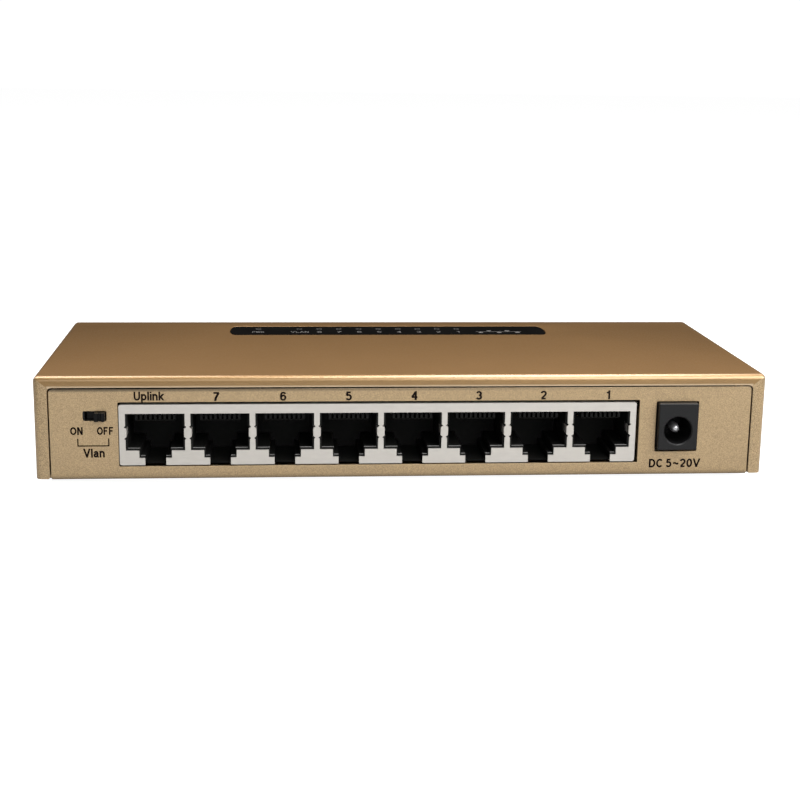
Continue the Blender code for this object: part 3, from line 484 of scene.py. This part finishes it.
def piece(name, bm, material):
    """Makes a piece that rides on the case from a bmesh in the frame's metres."""
    bmesh.ops.recalc_face_normals(bm, faces=bm.faces)
    mesh = bpy.data.meshes.new(name)
    bm.to_mesh(mesh)
    bm.free()
    mesh.materials.append(material)
    mesh.shade_smooth()
    mesh.set_sharp_from_angle(angle=SHARP_ABOVE)
    obj = bpy.data.objects.new(name, mesh)
    bpy.context.scene.collection.objects.link(obj)
    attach(obj, CHASSIS)
    return obj


def prism(bm, outline, place, low, high):
    """Adds a closed outline pushed from low to high; place(u, v, w) gives each point in metres."""
    ends = [[bm.verts.new(place(u, v, w)) for u, v in outline] for w in (low, high)]
    for end in ends:
        bm.faces.new(end)
    for i in range(len(outline)):
        j = (i + 1) % len(outline)
        bm.faces.new((ends[0][i], ends[0][j], ends[1][j], ends[1][i]))


def panel_place(u, v, w):
    """u along the port face, v up it and w out of it."""
    return at(u, -w, v)


def window_place(u, v, w):
    """u along the window strip, v towards the back of the case and w out of the strip."""
    point = at(u, v, 0)
    point.z = WINDOW_TOP + w * MM
    return point


INK_SUNK = 0.01
INK_PROUD = 0.012
ARC_STEP = 15  # degrees
FILL_INSIDE, MERGE_WITHIN = 1, 1e-5


def flat_print(name, outlines, place, material):
    """One closed body of ink from outlines that may overlap, a little proud of its surface."""
    corners = [Vector(corner) for outline in outlines for corner in outline]
    loops, count = [], 0
    for outline in outlines:
        loops.append(list(range(count, count + len(outline))))
        count += len(outline)
    filled = delaunay_2d_cdt(corners, [], loops, FILL_INSIDE, MERGE_WITHIN)
    points, faces, sources = filled[0], filled[2], filled[5]
    faces = [face for face, source in zip(faces, sources) if source]
    bm = bmesh.new()
    under, over = (
        [bm.verts.new(place(u, v, w)) for u, v in points] for w in (-INK_SUNK, INK_PROUD)
    )
    sides = set()
    for face in faces:
        bm.faces.new([over[i] for i in face])
        bm.faces.new([under[i] for i in reversed(face)])
        sides |= {(a, b) for a, b in zip(face, [*face[1:], face[0]])}
    for a, b in sides:
        if (b, a) not in sides:
            bm.faces.new((under[a], under[b], over[b], over[a]))
    bmesh.ops.delete(bm, geom=[vert for vert in bm.verts if not vert.link_faces], context="VERTS")
    return piece(name, bm, material)


def bar(u0, u1, v0, v1):
    return [(u0, v0), (u1, v0), (u1, v1), (u0, v1)]


def arc(x, y, rx, ry, start, end):
    """Points along an elliptical arc, angles in degrees."""
    steps = max(4, round(abs(end - start) / ARC_STEP))
    turns = [math.radians(start + (end - start) * i / steps) for i in range(steps + 1)]
    return [(x + rx * math.cos(turn), y + ry * math.sin(turn)) for turn in turns]


def oval(x, y, rx, ry):
    """A closed stroke as two arcs that overlap."""
    return [arc(x, y, rx, ry, 80, 280), arc(x, y, rx, ry, -100, 100)]


# A plain sans-serif hand: each letter's width, and its strokes' middles. A capital is 1 high.
X_TOP, TAIL = 0.68, -0.34
WRITING_LINES = (0, 1, X_TOP, TAIL)
STROKE = 0.25
LETTER_GAP = 0.10
BOWL = [(0, 1), *arc(0.33, 0.735, 0.25, 0.265, 90, -90), (0, 0.47)]
GLYPHS = {
    " ": (-0.04, []),
    "0": (0.56, oval(0.28, 0.5, 0.28, 0.5)),
    "1": (0.30, [[(0.30, 0), (0.30, 1)], [(0.30, 0.97), (0.0, 0.74)]]),
    "2": (0.58, [[*arc(0.29, 0.71, 0.28, 0.29, 170, -35), (0.06, 0.05)], [(0, 0), (0.58, 0)]]),
    "3": (0.56, [arc(0.27, 0.755, 0.25, 0.245, 165, -90), arc(0.27, 0.26, 0.28, 0.26, 90, -165)]),
    "4": (0.60, [[(0.42, 0), (0.42, 1)], [(0.39, 1), (0.03, 0.33)], [(-0.04, 0.30), (0.62, 0.30)]]),
    "5": (0.58, [[(0.54, 1), (0.12, 1), (0.055, 0.53)], arc(0.28, 0.32, 0.29, 0.32, 140, -155)]),
    "6": (
        0.57,
        [[*arc(0.30, 0.69, 0.29, 0.31, 25, 180), (0.01, 0.32)], *oval(0.29, 0.31, 0.28, 0.31)],
    ),
    "7": (0.58, [[(0, 1), (0.60, 1)], [(0.55, 0.97), (0.36, 0.62), (0.24, 0.30), (0.19, 0)]]),
    "8": (0.56, [*oval(0.28, 0.765, 0.24, 0.235), *oval(0.28, 0.27, 0.28, 0.27)]),
    "A": (0.74, [[(0, 0), (0.355, 1)], [(0.74, 0), (0.385, 1)], [(0.17, 0.33), (0.57, 0.33)]]),
    "C": (0.66, [arc(0.37, 0.5, 0.37, 0.5, 42, 318)]),
    "D": (0.65, [[(0, 0), (0, 1)], [(0, 1), *arc(0.27, 0.5, 0.38, 0.5, 90, -90), (0, 0)]]),
    "F": (0.56, [[(0, 0), (0, 1), (0.60, 1)], [(0, 0.5), (0.50, 0.5)]]),
    "L": (0.48, [[(0, 1), (0, 0), (0.54, 0)]]),
    "N": (0.62, [[(0, 0), (0, 1)], [(0.62, 0), (0.62, 1)], [(0.06, 1), (0.56, 0)]]),
    "O": (0.76, oval(0.38, 0.5, 0.38, 0.5)),
    "P": (0.58, [[(0, 0), (0, 1)], BOWL]),
    "R": (0.60, [[(0, 0), (0, 1)], BOWL, [(0.30, 0.47), (0.58, 0)]]),
    "U": (0.66, [[(0, 1), *arc(0.33, 0.35, 0.33, 0.35, 180, 360), (0.66, 1)]]),
    "V": (0.72, [[(0, 1), (0.345, 0)], [(0.72, 1), (0.375, 0)]]),
    "W": (
        1.00,
        [[(x, 1), (y, 0)] for x, y in ((0, 0.235), (0.49, 0.265), (0.51, 0.735), (1, 0.765))],
    ),
    "a": (
        0.50,
        [
            [*arc(0.24, 0.45, 0.22, 0.23, 165, 0), (0.46, 0.12), (0.49, 0)],
            [(0.46, 0.41), *arc(0.21, 0.185, 0.21, 0.185, 95, 290), (0.46, 0.2)],
        ],
    ),
    "i": (0, [[(0, 0), (0, X_TOP)], [(0, 0.92), (0, 1)]]),
    "k": (0.48, [[(0, 0), (0, 1)], [(0.45, X_TOP), (0.02, 0.24)], [(0.17, 0.40), (0.48, 0)]]),
    "l": (0, [[(0, 0), (0, 1)]]),
    "n": (0.50, [[(0, 0), (0, X_TOP)], [*arc(0.25, 0.43, 0.25, 0.25, 180, 0), (0.50, 0)]]),
    "p": (0.54, [[(0, TAIL), (0, X_TOP)], *oval(0.27, 0.34, 0.27, 0.34)]),
    "~": (
        0.66,
        [[(0, 0.40), (0.12, 0.52), (0.27, 0.50), (0.42, 0.40), (0.56, 0.38), (0.68, 0.50)]],
    ),
}


def ribbon(points, width):
    """The outline of a stroke. An upright end on a line of writing is cut level, others square."""
    half = width / 2
    left, right = [], []
    for i, point in enumerate(points):
        here = Vector(point)
        before, after = Vector(points[max(i - 1, 0)]), Vector(points[min(i + 1, len(points) - 1)])
        at_end = i in (0, len(points) - 1)
        if at_end:
            along = after - before
        else:
            along = (here - before).normalized() + (after - here).normalized()
        along.normalize()
        reach = half / max(0.5, along.dot((after - here if i == 0 else here - before).normalized()))
        across = Vector((-along.y, along.x)) * reach
        corners = [here + across, here - across]
        if at_end and point[1] in WRITING_LINES and abs(along.y) > 0.5:
            outward = -along.y if i == 0 else along.y
            level = here.y + math.copysign(half, outward)
            corners = [corner + along * ((level - corner.y) / along.y) for corner in corners]
        left.append(tuple(corners[0]))
        right.append(tuple(corners[1]))
    return right + left[::-1]


def lettering(name, words, box, place, material, stroke=STROKE):
    """Print that fills a box, given as low u, high u, low v, high v."""
    outlines, x = [], 0.0
    for letter in words:
        width, strokes = GLYPHS[letter]
        for points in strokes:
            outlines.append([(x + u, v) for u, v in ribbon(points, stroke)])
        x += width + stroke + LETTER_GAP
    us, vs = zip(*(corner for outline in outlines for corner in outline))
    low_u, high_u, low_v, high_v = box
    scale_u = (high_u - low_u) / (max(us) - min(us))
    scale_v = (high_v - low_v) / (max(vs) - min(vs))
    filled = [
        [(low_u + (u - min(us)) * scale_u, low_v + (v - min(vs)) * scale_v) for u, v in outline]
        for outline in outlines
    ]
    return flat_print(name, filled, place, material)


# ---------------------------------------------------------------- print on the port face

CAP_LOW, CAP_HIGH = 17.50, 19.50
SMALL_LOW, SMALL_HIGH = 10.15, 11.9
DIGIT_WIDTH = 1.36
NARROW = 0.62  # the width of a 1, over that of the other digits
DIGIT_MIDDLES = {"7": -41.1, "6": -26.8, "5": -12.6, "4": 1.7, "3": 15.9, "2": 30.2, "1": 44.6}
lettering("legend_uplink", "Uplink", (-58.8, -52.2, 17.15, 19.65), panel_place, PANEL_INK)
for digit, middle in DIGIT_MIDDLES.items():
    half = DIGIT_WIDTH / 2 * (NARROW if digit == "1" else 1)
    box = (middle - half, middle + half, CAP_LOW, CAP_HIGH)
    lettering(f"legend_port_{digit}", digit, box, panel_place, PANEL_INK)
lettering("legend_on", "ON", (-72.5, -69.8, SMALL_LOW, SMALL_HIGH), panel_place, PANEL_INK)
lettering("legend_off", "OFF", (-66.8, -63.35, SMALL_LOW, SMALL_HIGH), panel_place, PANEL_INK)
lettering("legend_vlan", "Vlan", (-69.9, -65.3, 5.1, 7.1), panel_place, PANEL_INK)
lettering("legend_power", "DC 5~20V", (54.5, 66.2, 1.8, 3.8), panel_place, PANEL_INK)
BRACKET = [(-70.94, 9.35), (-70.94, 7.7), (-64.36, 7.7), (-64.36, 9.35)]
BRACKET_STROKE = 0.26
flat_print("legend_bracket", [ribbon(BRACKET, BRACKET_STROKE)], panel_place, PANEL_INK)


# ---------------------------------------------------------------- print on the window strip

RING_MIDDLE, RING_RADIUS = 56.9, 0.60
WORD_LOW, WORD_HIGH = 51.8, 53.8
FINE_STROKE = 0.20
FINE_DIGIT_WIDTH, FINE_ONE_WIDTH = 1.2, 0.75
FIRST_LAMP, LAMP_STEP = -17.5, 5
VLAN_LAMP, POWER_LAMP = -22.5, -32.8


def window_mark(name, middle):
    """A small ring above a word or digit, over its lamp."""
    ring = oval(middle, RING_MIDDLE, RING_RADIUS, RING_RADIUS)
    strokes = [ribbon(half_ring, FINE_STROKE) for half_ring in ring]
    flat_print(f"window_mark_{name}", strokes, window_place, WINDOW_INK)


def window_word(name, words, middle, width):
    box = (middle - width / 2, middle + width / 2, WORD_LOW, WORD_HIGH)
    lettering(name, words, box, window_place, WINDOW_INK, FINE_STROKE)


for i, digit in enumerate("87654321"):
    middle = FIRST_LAMP + LAMP_STEP * i
    width = FINE_ONE_WIDTH if digit == "1" else FINE_DIGIT_WIDTH
    window_word(f"window_digit_{digit}", digit, middle, width)
    window_mark(digit, middle)
window_word("window_vlan", "VLAN", VLAN_LAMP, 4.6)
window_mark("vlan", VLAN_LAMP)
window_word("window_power", "PWR", POWER_LAMP, 3.0)
window_mark("power", POWER_LAMP)

# A generic sign for a network: boxes on stalks, by turns below and above a line.
SIGN_LOW, SIGN_HIGH, SIGN_LINE = 22.0, 33.7, 53.0
LINE_HALF, STALK_HALF, BOX_HALF = 0.12, 0.10, 0.55
STALK_END, BOX_START, BOX_END = 0.7, 0.6, 1.7
BOXES = 5
sign = [bar(SIGN_LOW, SIGN_HIGH, SIGN_LINE - LINE_HALF, SIGN_LINE + LINE_HALF)]
for k in range(BOXES):
    middle = SIGN_LOW + (SIGN_HIGH - SIGN_LOW) * (k + 0.5) / BOXES
    side = 1 if k % 2 else -1
    for half, start, end in ((STALK_HALF, 0, STALK_END), (BOX_HALF, BOX_START, BOX_END)):
        near, far = sorted((SIGN_LINE + side * start, SIGN_LINE + side * end))
        sign.append(bar(middle - half, middle + half, near, far))
flat_print("window_network_sign", sign, window_place, PICTOGRAM_INK)


# ---------------------------------------------------------------- contacts in the jacks

WIRES_PER_PORT = 8
WIRE_PITCH = 1.02
# Outlines across the width of a jack, as depth and height in millimetres, with half widths.
COMB_PARTS = (
    ([(3.4, 13.75), (12.5, 13.75), (12.5, 14.5), (3.4, 14.5)], 4.7),
    ([(1.5, 13.1), (1.7, 12.8), (3.0, 12.8), (3.3, 13.1)], 4.3),
    ([(2.9, 12.9), (3.5, 12.9), (3.5, 14.4), (2.9, 14.4)], 4.4),
)
RIB = [(1.25, 13.2), (1.6, 12.85), (3.0, 12.85), (3.6, 13.5), (3.6, 14.3), (1.25, 14.3)]
RIB_WIDTH = 0.52


def comb(i):
    """The black carrier of a jack's wires: nine ribs on a lip, with dark pockets between them."""
    middle = port_middle(i)
    bm = bmesh.new()

    def across(u, v, w):
        return at(middle + w, u, v)

    for outline, half in COMB_PARTS:
        prism(bm, outline, across, -half, half)
    for k in range(WIRES_PER_PORT + 1):
        u = WIRE_PITCH * (k - WIRES_PER_PORT / 2)
        prism(bm, RIB, across, u - RIB_WIDTH / 2, u + RIB_WIDTH / 2)
    return piece(f"contact_comb_{i + 1}", bm, JACK_MOULDING)


LEDGES = ((3.30, 5.90, 7.0), (2.25, 3.20, 5.3))  # from and to, off the port's middle; and height
LIP_HEIGHT, LIP_SUNK = 0.09, 0.02
LIP_BACK, LIP_FRONT = -0.60, -0.38


def ledge_lip_highlights(i):
    """Thin grey lips along the front of a cavity's ledges: their grey is a painted highlight where
    the black moulded edges catch the light.
    """
    middle = port_middle(i)
    bm = bmesh.new()
    for side in (-1, 1):
        for near, far, top in LEDGES:
            us = sorted((middle + side * near, middle + side * far))
            lip = bar(*us, top - LIP_SUNK, top + LIP_HEIGHT)
            prism(bm, lip, panel_place, LIP_BACK, LIP_FRONT)
    return piece(f"jack_lip_highlights_{i + 1}", bm, JACK_LIP_HIGHLIGHT)


WIRE_PATH = [
    (7.5, 13.6), (5.2, 13.6), (4.4, 13.52), (4.05, 13.36), (4.1, 13.16), (4.5, 13.02),
    (5.6, 12.72), (7.4, 12.2), (9.3, 11.66), (9.8, 11.6), (10.3, 11.78),
]  # fmt: skip
WIRE_RADIUS = 0.17
WIRE_SIDES = 8


def wires(i):
    """Eight gold spring wires: each comes forward under the carrier, turns and slopes back down."""
    middle = port_middle(i)
    bm = bmesh.new()
    for k in range(WIRES_PER_PORT):
        u = WIRE_PITCH * (k - (WIRES_PER_PORT - 1) / 2)
        rings = []
        for j, (y, z) in enumerate(WIRE_PATH):
            before, after = WIRE_PATH[max(j - 1, 0)], WIRE_PATH[min(j + 1, len(WIRE_PATH) - 1)]
            along = Vector((after[0] - before[0], after[1] - before[1])).normalized()
            around = []
            for m in range(WIRE_SIDES):
                turn = 2 * math.pi * m / WIRE_SIDES
                out = WIRE_RADIUS * math.sin(turn)
                x = middle + u + WIRE_RADIUS * math.cos(turn)
                around.append(bm.verts.new(at(x, y - along.y * out, z + along.x * out)))
            rings.append(around)
        for a, b in zip(rings, rings[1:]):
            for m in range(WIRE_SIDES):
                n = (m + 1) % WIRE_SIDES
                bm.faces.new((a[m], a[n], b[n], b[m]))
        bm.faces.new(rings[0])
        bm.faces.new(rings[-1])
    return piece(f"contact_wires_{i + 1}", bm, MATERIALS["contact_gold"])


for i in range(PORTS):
    comb(i)
    ledge_lip_highlights(i)
    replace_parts(wires(i), f"contact_insert_{i + 1}")


# ---------------------------------------------------------------- stage

FLOOR_HALF = 4.0
FLOOR_GLOW = 0.97
PAPER_WHITE = 1.05
HORIZON, ZENITH = 0.25, 0.9  # how far up the room's shading starts and ends
HORIZON_GLOW, ZENITH_GLOW = 0.01, 0.10


def stage_plane():
    """A white floor that a low camera looks up through.

    To the camera it glows like a lit paper sweep; the object itself sees dull grey card, so that
    its lower faces stay dark.
    """
    bm = bmesh.new()
    corners = bar(-FLOOR_HALF, FLOOR_HALF, -FLOOR_HALF, FLOOR_HALF)
    bm.faces.new([bm.verts.new((x, y, 0)) for x, y in corners])
    mesh = bpy.data.meshes.new("floor")
    bm.to_mesh(mesh)
    bm.free()
    floor = bpy.data.objects.new("floor", mesh)
    bpy.context.scene.collection.objects.link(floor)
    paper = bpy.data.materials.new("white_paper")
    paper.use_nodes = True
    nodes, links = paper.node_tree.nodes, paper.node_tree.links
    shader = nodes["Principled BSDF"]
    shader.inputs["Base Color"].default_value = (0.30, 0.30, 0.30, 1)
    shader.inputs["Roughness"].default_value = 0.9
    shader.inputs["Specular IOR Level"].default_value = 0.0
    shader.inputs["Emission Color"].default_value = (1, 1, 1, 1)
    glow = nodes.new("ShaderNodeMath")
    glow.operation = "MULTIPLY"
    links.new(nodes.new("ShaderNodeLightPath").outputs["Is Camera Ray"], glow.inputs[0])
    glow.inputs[1].default_value = FLOOR_GLOW
    links.new(glow.outputs["Value"], shader.inputs["Emission Strength"])
    clear = nodes.new("ShaderNodeBsdfTransparent")
    under = nodes.new("ShaderNodeNewGeometry").outputs["Backfacing"]
    pick = nodes.new("ShaderNodeMixShader")
    links.new(under, pick.inputs["Fac"])
    links.new(shader.outputs["BSDF"], pick.inputs[1])
    links.new(clear.outputs["BSDF"], pick.inputs[2])
    links.new(pick.outputs["Shader"], nodes["Material Output"].inputs["Surface"])
    mesh.materials.append(paper)


def softbox(name, place, target, width, depth, radiance):
    """A rectangular lamp of a given brightness, aimed at a point."""
    lamp = bpy.data.lights.new(name, "AREA")
    lamp.shape = "RECTANGLE"
    lamp.size = width
    lamp.size_y = depth
    lamp.energy = radiance * math.pi * width * depth
    holder = bpy.data.objects.new(name, lamp)
    holder.location = place
    away = Vector(place) - Vector(target)
    holder.rotation_euler = away.to_track_quat("Z", "Y").to_euler()
    bpy.context.scene.collection.objects.link(holder)


def world():
    """White to the camera; everything else sees a dim room, darker towards the horizon."""
    made = bpy.data.worlds.new("studio")
    made.use_nodes = True
    nodes, links = made.node_tree.nodes, made.node_tree.links
    room = nodes["Background"]
    room.inputs["Color"].default_value = (1, 1, 1, 1)
    height = nodes.new("ShaderNodeSeparateXYZ")
    links.new(nodes.new("ShaderNodeTexCoord").outputs["Generated"], height.inputs["Vector"])
    tone = nodes.new("ShaderNodeMapRange")
    links.new(height.outputs["Z"], tone.inputs["Value"])
    tone.inputs["From Min"].default_value = HORIZON
    tone.inputs["From Max"].default_value = ZENITH
    tone.inputs["To Min"].default_value = HORIZON_GLOW
    tone.inputs["To Max"].default_value = ZENITH_GLOW
    links.new(tone.outputs["Result"], room.inputs["Strength"])
    white = nodes.new("ShaderNodeBackground")
    white.inputs["Color"].default_value = (1, 1, 1, 1)
    white.inputs["Strength"].default_value = PAPER_WHITE
    pick = nodes.new("ShaderNodeMixShader")
    links.new(nodes.new("ShaderNodeLightPath").outputs["Is Camera Ray"], pick.inputs["Fac"])
    links.new(room.outputs["Background"], pick.inputs[1])
    links.new(white.outputs["Background"], pick.inputs[2])
    links.new(pick.outputs["Shader"], nodes["World Output"].inputs["Surface"])
    bpy.context.scene.world = made


stage_plane()
world()
ON_CASE = (0.02, 0, 0.02)
LAMPS = (  # name, place, what it is aimed at, width, depth, radiance
    ("over_front", (0.18, -0.02, 0.78), (0.10, 0, 0.02), 0.92, 0.38, 9.0),
    ("over_left", (-0.36, 0.14, 0.70), ON_CASE, 0.60, 0.40, 6.0),
    ("over_middle", (0.06, 0.10, 0.75), ON_CASE, 0.90, 0.35, 0.3),
    ("key", (0.52, -0.60, 0.52), ON_CASE, 0.90, 0.60, 4.4),
    ("key_right", (0.78, -0.45, 0.50), ON_CASE, 0.50, 0.45, 5.4),
    ("front", (0.05, -1.10, 0.50), ON_CASE, 1.50, 0.60, 1.8),
    ("back_left", (-0.95, 0.70, 0.80), ON_CASE, 0.60, 0.60, 2.4),
    ("back_right", (1.00, 0.65, 0.85), ON_CASE, 0.60, 0.60, 2.4),
)
for lamp_settings in LAMPS:
    softbox(*lamp_settings)


# ---------------------------------------------------------------- camera

CAMERA_PLACE = (-0.02764, -0.34512, 0.09175)
CAMERA_RIGHT = (0.99666, -0.08056, 0.01369)
CAMERA_FORWARD = (0.08158, 0.97099, -0.22477)
camera = bpy.data.objects.new("camera", bpy.data.cameras.new("camera"))
camera.data.sensor_width = 36.0
camera.data.lens = 66.344
camera.data.clip_start = 0.01
camera.data.clip_end = 30.0
right = Vector(CAMERA_RIGHT).normalized()
forward = Vector(CAMERA_FORWARD).normalized()
up = right.cross(forward)
turn = Matrix((right, up, -forward)).transposed().to_4x4()
camera.matrix_world = Matrix.Translation(CAMERA_PLACE) @ turn
bpy.context.scene.collection.objects.link(camera)
bpy.context.scene.camera = camera
bpy.context.scene.view_settings.view_transform = "Standard"
